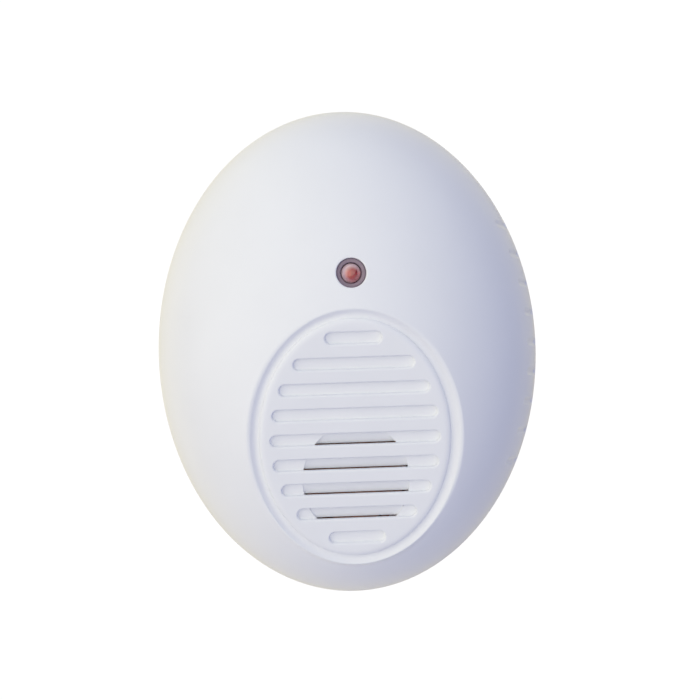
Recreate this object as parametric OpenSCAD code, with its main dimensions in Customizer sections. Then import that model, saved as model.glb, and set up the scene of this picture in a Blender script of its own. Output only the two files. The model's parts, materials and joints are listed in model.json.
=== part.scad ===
// Plug-in ultrasonic pest repeller: an oval domed housing with a slotted sounder panel,
// an indicator lamp, shallow flutes in one flank and a two-pin mains plug on its back.
// The origin is on the plug's flat socket face, midway between the two pins.
// The front looks along -Y, the pins point along +Y into the wall, and +Z is up.

/* [Housing] */
// Width of the oval housing
body_w = 96; // [94:1:104]
// Height of the oval housing
body_h = 122; // [120:1:132]
// How far the domed front stands out from the seam between the covers
dome_d = 36; // [35:1:40]
// Depth of the rear cover, from the seam to its flat back
rear_d = 10.5; // [10.5:0.5:14]
// Wall thickness of both covers
wall = 2; // [1.6:0.1:2.2]
// How far the flat back lies inside the seam's outline
rear_inset = 8; // [6:1:9]
// Step at the seam between the two covers
seam_step = 0.4; // [0.2:0.1:0.6]

/* [Sounder panel] */
// Backward lean of the flat oval panel, in degrees
panel_tilt = 15; // [13:1:16]
// Height of the panel's centre, below the housing's centre
panel_drop = 21.7; // [20:0.1:22]
// How far the panel's centre stands out from the seam
panel_out = 27.5; // [27:0.1:28]
// Width of the oval panel, to the outside of its groove
panel_w = 50.4; // [48:0.2:52]
// Height of the oval panel, to the outside of its groove
panel_h = 63.6; // [62:0.2:64]
// Thickness of the panel
panel_t = 2.2; // [2:0.1:2.6]
// Width of the groove round the panel
groove_w = 2.1; // [2:0.1:3]
// Depth of the groove round the panel
groove_d = 1; // [0.6:0.1:1.2]
// Number of slots in the panel
slot_count = 9; // [9:2:9]
// Distance between the middles of two slots
slot_pitch = 6.25; // [6:0.05:6.3]
// Height of a slot
slot_h = 2.9; // [2.4:0.1:3.2]
// Depth of the slots that are closed at the back
slot_d = 1.1; // [0.8:0.1:1.3]
// Width of the oval window that opens the slots in front of the sounder
window_w = 26; // [24:0.5:26]
// Height of that window
window_h = 28.8; // [27:0.2:29]
// Height of the window's centre, below the panel's centre
window_drop = 10.8; // [10:0.1:11]

/* [Flutes] */
// Number of shallow flutes in the housing's right flank
flute_count = 9; // [5:2:9]
// Distance between two flutes
flute_pitch = 7.4; // [6.5:0.1:7.6]
// Height of a flute
flute_h = 1.9; // [1.4:0.1:2.2]
// Depth of a flute
flute_d = 0.5; // [0.3:0.1:0.8]
// How far from the seam the flutes start
flute_start = 5.5; // [4:0.1:6]
// How far from the seam the flutes end
flute_reach = 13.7; // [12:0.1:14]
// Height of the middle flute, above the housing's centre
flute_lift = 0.7; // [0:0.1:3]

/* [Lamp] */
// Height of the indicator lamp, above the housing's centre
lamp_lift = 18; // [17:0.5:19]
// Diameter of the lamp's body
lamp_d = 5; // [5:1:5]
// Diameter of the hole that the lamp looks out of
lamp_hole_d = 7.2; // [7:0.1:7.6]

/* [Plug] */
// Diameter of a plug pin
pin_d = 4; // [4:0.1:4]
// Length of a plug pin beyond the socket face
pin_len = 19; // [19:0.5:19]
// Distance between the two pins
pin_pitch = 19; // [18:0.5:19]
// Length of the insulating sleeve beyond the socket face
sleeve_len = 10; // [10:0.5:10]
// Diameter of the insulating sleeve
sleeve_d = 3.6; // [3.6:0.1:3.6]
// Width of the raised pad that the pins stand on
pad_w = 37; // [35:1:40]
// Height of the raised pad
pad_h = 15; // [14:1:17]
// How far the pad stands proud of the rear cover
pad_out = 1.5; // [1:0.5:2]

/* [Circuit board] */
// Width of the board
board_w = 66; // [64:1:66]
// Height of the board
board_h = 50; // [50:1:50]
// Thickness of the board
board_t = 1.6; // [1.2:0.2:1.6]
// Height of the board's centre, above the housing's centre
board_lift = 3; // [3:0.5:3]
// Space between the rear cover's floor and the board
board_gap = 7.3; // [7.3:0.1:7.6]

/* [Hidden] */

$fn = 48;
cut = 1;                                    // how far a cutting shape runs past a face
seam_y = rear_d + pad_out;                  // how far the seam lies in front of the socket face
floor_y = pad_out + wall;                   // the same for the rear cover's inner floor
board_back = floor_y + board_gap;           // the board's back face
board_front = board_back + board_t;         // and the board's front face
a_out = body_w / 2;                         // half width of the housing
c_out = body_h / 2;                         // half height of the housing
sides = 56;                                 // facets round the housing
dome_rings = 13;                            // rings from the seam to the front of the dome
rear_rings = 6;                             // rings round the rear cover's edge
slot_r = slot_h / 2;
middle_slot = (slot_count - 1) / 2;
slot_field_w = 41;                          // the slots' ends lie on an oval of this width
slot_field_h = 53;                          // and this height
open_slots = [4, 5, 6, 7];                  // slots that the window opens, counted from the top
louvre_d = 0.9;                             // how far a blade runs back, behind its slot's floor
louvre_t = 0.65;                            // thickness of a blade's free edge
collar_d = 4.3;                             // depth of the collar behind the window
collar_t = 2;                               // wall of that collar

// Screws
housing_screw_at = [24, 34];                // half distances between the housing screws
housing_screw_r = 1.5;
housing_screw_len = 10;
housing_head_r = 2.8;
housing_head_h = 2;
housing_head_sink = 5;                      // how deep the heads sit below the flat back
housing_head_gap = 0.3;                     // room round the heads in their wells
housing_shank_gap = 0.2;
pillar_r = 4;
board_screw_at = [29, 21];                  // half distances between the board screws
board_screw_r = 1.2;
board_screw_len = 7;
board_post_r = 2.8;
small_head_r = 2.3;
small_head_h = 1.6;
clamp_screw_x = 19;                         // half distance between the clamp screws
carrier_screw_x = 17;                       // half distance between the carrier screws
hole_gap = 0.1;                             // room round a screw or pin in its hole
slot_in_head = 0.6;                         // width of the cross slots in the screws' heads

// Blank recess for a rating label, on the back
label_w = 40;
label_h = 18;
label_drop = 28;                            // how far its middle lies below the housing's centre
label_sink = 0.4;

// Sounder, measured back from the panel's face
gasket_z = panel_t + collar_d;
gasket_t = 1;
sounder_z = gasket_z + gasket_t;            // front of the sounder's cup
sounder_r = 15;
sounder_d = 8;
sounder_back = sounder_z + sounder_d;
clamp_t = 1.5;
clamp_h = 8;                                // height of the bar that clamps the sounder
clamp_bore_r = 3.6;                         // hole in the clamp that the terminals pass through
clamp_screw_len = 8;
clamp_pilot_d = 9;                          // depth of the clamp screws' holes
gasket_bore_r = 13;
cup_floor = 1.5;                            // thickness of the sounder cup's back
cup_ledge = 3.5;                            // height of the ledge that holds the diaphragm
cup_bore_r = 12;                            // the cup's bore below the ledge
cup_rim_r = 13.8;                           // and above it
diaphragm_r = 13.6;
diaphragm_t = 0.4;
piezo_r = 9;
piezo_t = 0.4;
cone_r = 12.8;
cone_rise = 3.4;                            // how far the cone's rim stands out from its middle
cone_t = 0.5;
terminal_x = 2.5;                           // half distance between the sounder's terminals
terminal_r = 0.8;
terminal_end = 0.6;                         // how far they reach beyond the clamp

// Plug parts
carrier_w = 41;
carrier_h = 12;
carrier_t = 4.4;
pin_core_r = 1.45;
pin_collar_r = 3;
pin_collar_t = 1.5;
pin_tail_r = 1.5;
pin_tail_y = board_back - 1;                // the pins' tails end just short of the board
pin_tip = 1.2;                              // length of a pin's rounded tip
sleeve_gap = 0.05;                          // room round a sleeve in the rear cover

// Lamp
lamp_r = lamp_d / 2;
lamp_flange_r = 2.9;
lamp_flange_t = 1;
lamp_tip_y = seam_y + dome_d * sqrt(1 - pow(lamp_lift / c_out, 2)) - 0.4;
lamp_len = 6;                               // length of the lamp from flange to tip
lamp_flange_y = lamp_tip_y - lamp_len;      // the flange's back face
lamp_collar_t = 1.4;                        // wall of the collar behind the lamp's hole
lamp_spacer_r = 2.8;
lamp_spacer_bore_r = 1.8;
bezel_gap = 0.05;                           // room between the bezel and the cover's hole
bezel_bore_r = 2.6;
bezel_sink = 1;                             // how far the bezel's face lies behind the lamp's tip
bezel_lip_r = 4.8;
bezel_lip_t = 1;
pilot_d = 12;                               // depth of the housing screws' holes, from the seam
lamp_lead_x = 1.27;
lamp_lead_r = 0.3;

// Routes of the four internal wires, from end to end
live_route = [[-9.5, -9.2, 1.5], [-9.5, -9.2, 4], [-10.5, -9.3, 7.5], [-13, -9.4, 10.5], [-17, -9.5, 13],
    [-21, -9.5, 15], [-24, -9.5, 16.8], [-25.5, -9.7, 17.6], [-26, -10.1, 18], [-26, -board_back, 18]];
neutral_route = [[9.5, -9.2, 1.5], [9.5, -9.2, 4], [9, -9.3, 7.5], [6, -9.4, 10.5], [1, -9.5, 13],
    [-6, -9.5, 15], [-12, -9.5, 16.2], [-14.5, -9.7, 16.4], [-15, -10.1, 16.5], [-15, -board_back, 16.5]];
red_route = [[-2.5, -19.6, -27.2], [-2.7, -18.4, -26.8], [-3.6, -16.8, -25], [-5, -15.8, -22.4],
    [-6.4, -15.2, -20], [-7, -14.4, -18.4], [-7, -board_front, -18]];
black_route = [for (p = red_route) [-p[0], p[1], p[2]]];
mains_wire_r = 0.8;
signal_wire_r = 0.6;

// Height of slot i on the panel, and its half length, which ends on the oval that bounds the slots.
function slot_y(i) = (middle_slot - i) * slot_pitch;
function slot_half(i) = slot_field_w / 2 * sqrt(1 - pow(slot_y(i) / (slot_field_h / 2), 2));

// Points of an oval with half axes a and b.
function oval(a, b, n = 64) = [for (i = [0:n - 1]) [a * cos(360 * i / n), b * sin(360 * i / n)]];

// Joins a stack of similar ovals into one solid. Each ring is [depth, half width, half height].
module oval_stack(rings) {
    n = sides;
    last = len(rings) - 1;
    points = [for (r = rings) for (i = [0:n - 1])
        [r[1] * cos(360 * i / n), -r[0], r[2] * sin(360 * i / n)]];
    walls = [for (j = [0:last - 1]) for (i = [0:n - 1])
        [j * n + i, (j + 1) * n + i, (j + 1) * n + (i + 1) % n, j * n + (i + 1) % n]];
    near_end = [for (i = [0:n - 1]) i];
    far_end = [for (i = [n - 1:-1:0]) last * n + i];
    polyhedron(points, concat([near_end], walls, [far_end]));
}

// The dome's own shape, shrunk by a wall thickness, with a skirt that runs past the seam.
module dome(shrink, skirt) {
    top = 84;                               // the last ring's angle leaves a small flat at the front
    rings = [for (j = [0:dome_rings]) let (t = top * j / dome_rings)
        [seam_y + (dome_d - shrink) * sin(t), (a_out - shrink) * cos(t), (c_out - shrink) * cos(t)]];
    skirt_ring = [[seam_y - skirt, a_out - shrink, c_out - shrink]];
    oval_stack(skirt > 0 ? concat(skirt_ring, rings) : rings);
}

// The rear cover's own shape, shrunk by a wall thickness, with a skirt that runs past the seam.
module dish(shrink, skirt) {
    a = a_out - seam_step - shrink;
    c = c_out - seam_step - shrink;
    rings = [for (j = [rear_rings:-1:0]) let (t = 90 * j / rear_rings)
        [seam_y - (rear_d - shrink) * sin(t), a - rear_inset * (1 - cos(t)), c - rear_inset * (1 - cos(t))]];
    oval_stack(skirt > 0 ? concat(rings, [[seam_y + skirt, a, c]]) : rings);
}

// Puts children on the panel: X across, Y up the panel, Z out of its face.
module on_panel() {
    translate([0, -seam_y - panel_out, -panel_drop]) rotate([90 + panel_tilt, 0, 0]) children();
}

// Puts children on the sounder's axis, on the panel's face.
module on_sounder() {
    on_panel() translate([0, -window_drop, 0]) children();
}

// Puts children on the board's front: X across, Y up, Z towards the housing's front.
module on_board(x, z) {
    translate([x, -board_front, z]) rotate([90, 0, 0]) children();
}

// Puts children a distance y in front of the socket face, with Z towards the front.
module at_depth(x, y, z) {
    translate([x, -y, z]) rotate([90, 0, 0]) children();
}

// Repeats children at the four corners of a rectangle with half sides p.
module four_corners(p, lift = 0) {
    for (x = [-p[0], p[0]], z = [-p[1], p[1]]) translate([x, 0, z + lift]) children();
}

// Everything behind the panel's plane, moved back by a distance.
module behind_panel(back) {
    room = 200;
    on_panel() translate([-room / 2, -room / 2, -room - back]) cube(room);
}

// A slot with round ends, cut into the panel from its face.
module bar_slot(half, r, depth) {
    translate([0, 0, -depth]) {
        translate([-half + r, -r, 0]) cube([2 * (half - r), 2 * r, depth + cut]);
        for (x = [-half + r, half - r]) translate([x, 0, 0]) cylinder(r = r, h = depth + cut);
    }
}

// A tube along a route, with a round section of eight sides square to the route at each point.
// The sections are turned to face across, which is a direction that the route never takes.
module wire(route, r, across) {
    n = 8;
    last = len(route) - 1;
    function unit(v) = v / norm(v);
    function along(i) = unit(route[min(i + 1, last)] - route[max(i - 1, 0)]);
    function side(i) = unit(cross(along(i), across));
    function lift(i) = cross(side(i), along(i));
    points = [for (i = [0:last]) for (k = [0:n - 1])
        route[i] + r * (cos(360 * k / n) * side(i) + sin(360 * k / n) * lift(i))];
    walls = [for (i = [0:last - 1]) for (k = [0:n - 1])
        [i * n + k, i * n + (k + 1) % n, (i + 1) * n + (k + 1) % n, (i + 1) * n + k]];
    start = [for (k = [n - 1:-1:0]) k];
    end = [for (k = [0:n - 1]) last * n + k];
    polyhedron(points, concat([start], walls, [end]));
}

// Small self-tapping screw: head at the origin, shank along +Z.
module screw(shank_r, len, head_r, head_h) {
    difference() {
        translate([0, 0, -head_h]) cylinder(r = head_r, h = head_h);
        for (turn = [0, 90]) rotate(turn) translate([-head_r * 0.6, -slot_in_head / 2, -head_h - cut])
            cube([head_r * 1.2, slot_in_head, head_h / 2 + cut]);
    }
    cylinder(r = shank_r, h = len);
}

module front_outer() {
    intersection() {
        dome(0, 0);
        behind_panel(0);
    }
}

module front_inner() {
    intersection() {
        dome(wall, cut);
        behind_panel(panel_t);
    }
}

// Blades that slope down and back from each open slot's upper edge to just above its lower edge,
// so that little but the blade is seen through the slot.
module louvres() {
    blade_w = window_w + 2 * collar_t;
    root = slot_r + 0.6;                    // the blade grows out of the bar above its slot
    intersection() {
        on_sounder() translate([0, 0, -gasket_z]) linear_extrude(gasket_z)
            polygon(oval((window_w + collar_t) / 2, (window_h + collar_t) / 2));
        on_panel() for (i = open_slots) translate([-blade_w / 2, slot_y(i), -slot_d])
            rotate([90, 0, 90]) linear_extrude(blade_w) polygon([
                [root, 0], [slot_r, 0], [-slot_r, -louvre_d],
                [0.3 - slot_r, -louvre_d - louvre_t], [root, slot_d + 0.15 - panel_t]
            ]);
    }
}

// What the window takes out of the panel behind the slots' floors: each bar below an open slot
// is bevelled at the back, so that the sound gets past the blade's free edge.
module window_cut() {
    back = panel_t - slot_d + cut;
    intersection() {
        on_sounder() translate([0, 0, -panel_t - cut]) linear_extrude(panel_t)
            polygon(oval(window_w / 2, window_h / 2));
        on_panel() for (i = open_slots) translate([-window_w, slot_y(i), -slot_d])
            rotate([90, 0, 90]) linear_extrude(2 * window_w) polygon([
                [slot_r, cut / 2], [-slot_r, cut / 2], [-slot_r, 0], [-slot_r - back, -back], [slot_r, -back]
            ]);
    }
}

module front_cover() color("white") {
    front_shell();
    louvres();
}

module front_shell() difference() {
    union() {
        difference() {
            front_outer();
            front_inner();
        }
        intersection() {
            front_outer();
            union() {
                four_corners(housing_screw_at) at_depth(0, seam_y, 0) cylinder(r = pillar_r, h = dome_d);
                at_depth(0, lamp_flange_y, lamp_lift)
                    cylinder(d = lamp_hole_d + 2 * lamp_collar_t, h = lamp_len);
                on_sounder() for (x = [-clamp_screw_x, clamp_screw_x])
                    translate([x, 0, -sounder_back]) cylinder(r = board_post_r, h = sounder_back - cut);
                on_sounder() translate([0, 0, -gasket_z]) linear_extrude(collar_d + cut) difference() {
                    polygon(oval(window_w / 2 + collar_t, window_h / 2 + collar_t));
                    polygon(oval(window_w / 2, window_h / 2));
                }
            }
        }
    }
    on_panel() for (i = [0:slot_count - 1])
        translate([0, slot_y(i), 0]) bar_slot(slot_half(i), slot_r, slot_d);
    window_cut();
    on_panel() translate([0, 0, -groove_d]) linear_extrude(groove_d + 4 * cut) difference() {
        polygon(oval(panel_w / 2, panel_h / 2));
        polygon(oval(panel_w / 2 - groove_w, panel_h / 2 - groove_w));
    }
    at_depth(0, seam_y, lamp_lift) cylinder(d = lamp_hole_d, h = dome_d + cut);
    four_corners(housing_screw_at) at_depth(0, seam_y - cut, 0)
        cylinder(r = housing_screw_r + hole_gap, h = pilot_d + cut);
    on_sounder() for (x = [-clamp_screw_x, clamp_screw_x]) translate([x, 0, -sounder_back - cut])
        cylinder(r = board_screw_r + hole_gap, h = clamp_pilot_d);
    flutes();
}

// What the flutes take out of the right flank: bars that reach no deeper than the flutes' depth.
module flutes() difference() {
    for (i = [0:flute_count - 1]) {
        z = flute_lift + (i - (flute_count - 1) / 2) * flute_pitch;
        translate([a_out / 2, -seam_y - flute_reach, z - flute_h / 2])
            cube([a_out, flute_reach - flute_start, flute_h]);
    }
    dome(flute_d, 0);
}

module rear_cover() color("whitesmoke") difference() {
    union() {
        difference() {
            dish(0, 0);
            dish(wall, cut);
        }
        at_depth(0, 0, 0) pad_shape(pad_w, pad_h, pad_out + wall / 2);
        intersection() {
            dish(0.2, 0);
            union() {
                four_corners(housing_screw_at) at_depth(0, pad_out, 0)
                    cylinder(r = pillar_r, h = seam_y - pad_out);
                four_corners(board_screw_at, board_lift) at_depth(0, pad_out, 0)
                    cylinder(r = board_post_r, h = board_back - pad_out);
            }
        }
    }
    for (x = [-pin_pitch / 2, pin_pitch / 2]) at_depth(x, -cut, 0)
        cylinder(r = sleeve_d / 2 + sleeve_gap, h = floor_y + 2 * cut);
    four_corners(housing_screw_at) {
        at_depth(0, -cut, 0)
            cylinder(r = housing_head_r + housing_head_gap, h = pad_out + housing_head_sink + cut);
        at_depth(0, 0, 0) cylinder(r = housing_screw_r + housing_shank_gap, h = seam_y + cut);
    }
    four_corners(board_screw_at, board_lift) at_depth(0, floor_y, 0)
        cylinder(r = board_screw_r + hole_gap, h = board_gap + cut);
    for (x = [-carrier_screw_x, carrier_screw_x]) at_depth(x, cut, 0)
        cylinder(r = board_screw_r + hole_gap, h = floor_y);
    translate([-label_w / 2, -pad_out - label_sink, -label_drop - label_h / 2])
        cube([label_w, label_sink + cut / 2, label_h]);
}

// Rounded pad: a bar with round ends, standing along Z.
module pad_shape(w, h, t) {
    translate([-(w - h) / 2, -h / 2, 0]) cube([w - h, h, t]);
    for (x = [-(w - h) / 2, (w - h) / 2]) translate([x, 0, 0]) cylinder(d = h, h = t);
}

module housing_screws() color("silver")
    four_corners(housing_screw_at) at_depth(0, pad_out + housing_head_sink, 0)
        screw(housing_screw_r, housing_screw_len, housing_head_r, housing_head_h);

module plug_pin(x) {
    translate([x, 0, 0]) rotate([-90, 0, 0]) rotate_extrude() polygon([
        [0, -pin_tail_y], [pin_tail_r, -pin_tail_y],
        [pin_tail_r, -floor_y - pin_collar_t], [pin_collar_r, -floor_y - pin_collar_t],
        [pin_collar_r, -floor_y], [pin_core_r, -floor_y],
        [pin_core_r, sleeve_len], [pin_d / 2, sleeve_len],
        [pin_d / 2, pin_len - pin_tip], [pin_d / 2 - pin_tip * 0.3, pin_len - pin_tip * 0.4],
        [pin_d / 2 - pin_tip * 0.8, pin_len], [0, pin_len]
    ]);
}

module live_pin() color("silver") plug_pin(-pin_pitch / 2);
module neutral_pin() color("silver") plug_pin(pin_pitch / 2);

module pin_sleeves() color("black")
    for (x = [-pin_pitch / 2, pin_pitch / 2]) translate([x, 0, 0]) rotate([-90, 0, 0]) difference() {
        translate([0, 0, -floor_y]) cylinder(d = sleeve_d, h = floor_y + sleeve_len);
        translate([0, 0, -floor_y - cut]) cylinder(r = pin_core_r, h = floor_y + sleeve_len + 2 * cut);
    }

module pin_carrier() color("dimgray") at_depth(0, floor_y, 0) difference() {
    pad_shape(carrier_w, carrier_h, carrier_t);
    for (x = [-pin_pitch / 2, pin_pitch / 2]) translate([x, 0, -cut]) {
        cylinder(r = pin_collar_r + hole_gap, h = pin_collar_t + cut);
        cylinder(r = pin_tail_r + hole_gap, h = carrier_t + 2 * cut);
    }
    for (x = [-carrier_screw_x, carrier_screw_x]) translate([x, 0, -cut])
        cylinder(r = board_screw_r + hole_gap, h = carrier_t + 2 * cut);
}

module carrier_screws() color("silver")
    for (x = [-carrier_screw_x, carrier_screw_x]) translate([x, -floor_y - carrier_t, 0])
        rotate([-90, 0, 0]) screw(board_screw_r, carrier_t + 2, small_head_r, small_head_h);

module live_wire() color("brown") wire(live_route, mains_wire_r, [1, -1, 0]);
module neutral_wire() color("steelblue") wire(neutral_route, mains_wire_r, [1, -1, 0]);

module circuit_board() color("peru") difference() {
    translate([-board_w / 2, -board_front, board_lift - board_h / 2]) cube([board_w, board_t, board_h]);
    four_corners(board_screw_at, board_lift) at_depth(0, board_back - cut, 0)
        cylinder(r = board_screw_r + hole_gap, h = board_t + 2 * cut);
}

module board_screws() color("silver")
    four_corners(board_screw_at, board_lift) translate([0, -board_front, 0]) rotate([-90, 0, 0])
        screw(board_screw_r, board_screw_len, small_head_r, small_head_h);

module led_lens() color("red") at_depth(0, lamp_flange_y, lamp_lift) {
    cylinder(r = lamp_flange_r, h = lamp_flange_t);
    cylinder(r = lamp_r, h = lamp_len - lamp_r);
    translate([0, 0, lamp_len - lamp_r]) sphere(r = lamp_r);
}

module led_leads() color("silver")
    for (x = [-lamp_lead_x, lamp_lead_x]) at_depth(x, board_front, lamp_lift)
        cylinder(r = lamp_lead_r, h = lamp_flange_y - board_front);

module led_spacer() color("black") at_depth(0, board_front, lamp_lift) difference() {
    cylinder(r = lamp_spacer_r, h = lamp_flange_y - board_front);
    translate([0, 0, -cut]) cylinder(r = lamp_spacer_bore_r, h = lamp_flange_y - board_front + 2 * cut);
}

// Dark ring round the lamp, pushed into its hole from behind as far as a lip.
module led_bezel() color("dimgray") at_depth(0, lamp_flange_y - bezel_lip_t, lamp_lift) difference() {
    union() {
        cylinder(r = bezel_lip_r, h = bezel_lip_t);
        cylinder(r = lamp_hole_d / 2 - bezel_gap, h = bezel_lip_t + lamp_len - bezel_sink);
    }
    translate([0, 0, -cut]) cylinder(r = bezel_bore_r, h = lamp_len + bezel_lip_t + 2 * cut);
    translate([0, 0, -cut])
        cylinder(r = lamp_flange_r + hole_gap, h = cut + bezel_lip_t + lamp_flange_t + hole_gap);
}

module ring(r_out, r_in, t) {
    difference() {
        cylinder(r = r_out, h = t);
        translate([0, 0, -cut]) cylinder(r = r_in, h = t + 2 * cut);
    }
}

module transducer_gasket() color("dimgray")
    on_sounder() translate([0, 0, -sounder_z]) ring(sounder_r, gasket_bore_r, gasket_t);

module transducer_body() color("black") on_sounder() translate([0, 0, -sounder_back]) difference() {
    cylinder(r = sounder_r, h = sounder_d);
    translate([0, 0, cup_floor]) cylinder(r = cup_bore_r, h = sounder_d);
    translate([0, 0, cup_ledge]) cylinder(r = cup_rim_r, h = sounder_d);
    for (x = [-terminal_x, terminal_x]) translate([x, 0, -cut])
        cylinder(r = terminal_r + 2 * hole_gap, h = cup_floor + 2 * cut);
}

module transducer_diaphragm() color("goldenrod")
    on_sounder() translate([0, 0, -sounder_back + cup_ledge]) cylinder(r = diaphragm_r, h = diaphragm_t);

module piezo_disc() color("ivory")
    on_sounder() translate([0, 0, -sounder_back + cup_ledge - piezo_t]) cylinder(r = piezo_r, h = piezo_t);

module transducer_cone() color("silver")
    on_sounder() translate([0, 0, -sounder_back + cup_ledge + diaphragm_t]) rotate_extrude() polygon([
        [0, 0], [2.6, 0], [cone_r, cone_rise], [cone_r, cone_rise + cone_t], [2.2, 0.6], [0, 0.6]
    ]);

module transducer_terminals() color("silver")
    on_sounder() for (x = [-terminal_x, terminal_x]) translate([x, 0, -sounder_back - clamp_t - terminal_end])
        cylinder(r = terminal_r, h = terminal_end + clamp_t + cup_ledge - piezo_t);

module transducer_clamp() color("gainsboro")
    on_sounder() translate([0, 0, -sounder_back - clamp_t]) difference() {
        pad_shape(2 * clamp_screw_x + clamp_h, clamp_h, clamp_t);
        for (x = [-clamp_screw_x, clamp_screw_x]) translate([x, 0, -cut])
            cylinder(r = board_screw_r + hole_gap, h = clamp_t + 2 * cut);
        translate([0, 0, -cut]) cylinder(r = clamp_bore_r, h = clamp_t + 2 * cut);
    }

module clamp_screws() color("silver")
    on_sounder() for (x = [-clamp_screw_x, clamp_screw_x])
        translate([x, 0, -sounder_back - clamp_t])
            screw(board_screw_r, clamp_screw_len, small_head_r, small_head_h);

module transducer_lead_red() color("red") wire(red_route, signal_wire_r, [1, 1, 0]);
module transducer_lead_black() color("black") wire(black_route, signal_wire_r, [1, -1, 0]);

// Two bare legs that stand a part off the board.
module legs(half, h) {
    for (x = [-half, half]) translate([x, 0, 0]) cylinder(r = 0.4, h = h, $fn = 16);
}

// A part with a round body that lies along the board's Y, with a lead down to the board at each end.
module lying_part(r, len, lead_half) {
    lift = r + 0.5;
    translate([0, -len / 2, lift]) rotate([-90, 0, 0]) cylinder(r = r, h = len);
    for (way = [0, 180]) rotate(way) {
        translate([0, lead_half, 0]) cylinder(r = 0.45, h = lift + 0.5, $fn = 16);
        translate([0, len / 2 - 0.5, lift]) rotate([-90, 0, 0])
            cylinder(r = 0.35, h = lead_half - len / 2 + 0.5, $fn = 16);
    }
}

module dropper_capacitor() color("gold") on_board(-18, 16.5) {
    case = [18, 8.5, 15];
    translate([-case[0] / 2, -case[1] / 2, 0.6]) cube(case);
    legs(case[0] / 2 - 1.5, 1);
}

// Each capacitor is [place across, can radius, can height, half distance between its legs].
module smoothing_capacitors() color("midnightblue")
    for (can = [[13, 4, 12, 1.75], [23.5, 3.15, 11, 1.25]]) on_board(can[0], 19) {
        translate([0, 0, 0.5]) cylinder(r = can[1], h = can[2]);
        legs(can[3], 1);
    }

module rectifier_diodes() color("dimgray")
    for (x = [-24, -19, -14, -9]) on_board(x, -2) lying_part(1.35, 5.2, 5);

module fusible_resistor() color("seagreen") on_board(-15, 8.5) rotate(90) lying_part(1.9, 9.5, 7);

module surge_varistor() color("royalblue") on_board(-29.5, 6) {
    translate([0, 0, 5.5]) rotate([0, 90, 0]) cylinder(r = 4.5, h = 3.6, center = true);
    rotate(90) legs(2.5, 2);
}

module oscillator_chip() color("black") on_board(6, 4) {
    translate([-4.8, -3.2, 0.6]) cube([9.6, 6.4, 3.3]);
    for (x = [-3.81, -1.27, 1.27, 3.81], y = [-3.5, 3.5]) translate([x - 0.25, y - 0.3, 0])
        cube([0.5, 0.6, 2.2]);
}

module driver_transistors() color("black")
    for (x = [17.5, 24]) on_board(x, 6) {
        difference() {
            translate([0, 0, 2]) cylinder(r = 2.3, h = 4.6);
            translate([-3, -3.6, 1.9]) cube([6, 2, 5]);
        }
        for (leg = [-1.27, 0, 1.27]) translate([leg, 0, 0]) cylinder(r = 0.25, h = 2.4, $fn = 16);
    }

module coil_core() color("dimgray") on_board(22, -9) {
    translate([0, 0, 0.6]) cylinder(r = 5, h = 1.4);
    cylinder(r = 2.4, h = 11.6);
    translate([0, 0, 10.6]) cylinder(r = 5, h = 1.4);
}

module coil_winding() color("orangered") on_board(22, -9) translate([0, 0, 2]) ring(4.5, 2.4, 8.6);

module resistors() color("tan") {
    for (x = [-3, 1, 5, 9]) on_board(x, -9) lying_part(1.15, 6.3, 5);
    for (z = [-3, 1]) on_board(30.2, z + 4) rotate(90) translate([0, 1.6, 0]) lying_part(0.9, 3.4, 2.6);
}

module ceramic_capacitors() color("chocolate")
    for (at = [[-6, 6], [-14.5, -15], [14, -15]]) on_board(at[0], at[1]) {
        translate([0, 0, 3.6]) rotate([90, 0, 0]) cylinder(r = 2.5, h = 2.4, center = true);
        legs(1.27, 2);
    }

front_cover();
rear_cover();
housing_screws();
live_pin();
neutral_pin();
pin_sleeves();
pin_carrier();
carrier_screws();
live_wire();
neutral_wire();
circuit_board();
board_screws();
led_lens();
led_leads();
led_spacer();
led_bezel();
transducer_gasket();
transducer_body();
transducer_cone();
transducer_diaphragm();
piezo_disc();
transducer_terminals();
transducer_clamp();
clamp_screws();
transducer_lead_red();
transducer_lead_black();
dropper_capacitor();
smoothing_capacitors();
rectifier_diodes();
fusible_resistor();
surge_varistor();
oscillator_chip();
driver_transistors();
coil_core();
coil_winding();
resistors();
ceramic_capacitors();
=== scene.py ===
"""Ultrasonic pest repeller: the looks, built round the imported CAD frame. Lengths are in metres."""
import json
import math

import bmesh
import bpy
import numpy as np
from mathutils import Matrix, Vector
from mathutils.geometry import delaunay_2d_cdt


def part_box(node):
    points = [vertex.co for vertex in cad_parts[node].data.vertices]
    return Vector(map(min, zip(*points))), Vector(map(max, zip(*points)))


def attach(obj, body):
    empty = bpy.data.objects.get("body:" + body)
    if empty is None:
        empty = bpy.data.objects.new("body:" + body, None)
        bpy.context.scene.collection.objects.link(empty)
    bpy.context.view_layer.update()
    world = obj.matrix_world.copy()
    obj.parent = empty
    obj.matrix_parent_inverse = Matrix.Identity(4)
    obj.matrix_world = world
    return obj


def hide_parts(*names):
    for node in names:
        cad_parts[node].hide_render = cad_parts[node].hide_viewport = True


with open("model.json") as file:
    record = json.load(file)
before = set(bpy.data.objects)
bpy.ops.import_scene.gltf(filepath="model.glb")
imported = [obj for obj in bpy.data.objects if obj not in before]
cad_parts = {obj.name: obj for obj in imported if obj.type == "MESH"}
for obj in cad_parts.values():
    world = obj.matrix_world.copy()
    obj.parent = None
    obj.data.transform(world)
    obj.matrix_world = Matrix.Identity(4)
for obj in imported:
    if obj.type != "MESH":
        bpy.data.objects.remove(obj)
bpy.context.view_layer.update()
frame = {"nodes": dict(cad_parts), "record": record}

MM = 0.001
BODY = "root"

# ---------------------------------------------------------------- sizes

cover_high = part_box("front_cover")[1]
rear_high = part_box("rear_cover")[1]
lens_low, lens_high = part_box("led_lens")
pin_low, pin_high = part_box("live_pin")
bezel_low, bezel_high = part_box("led_bezel")

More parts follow.
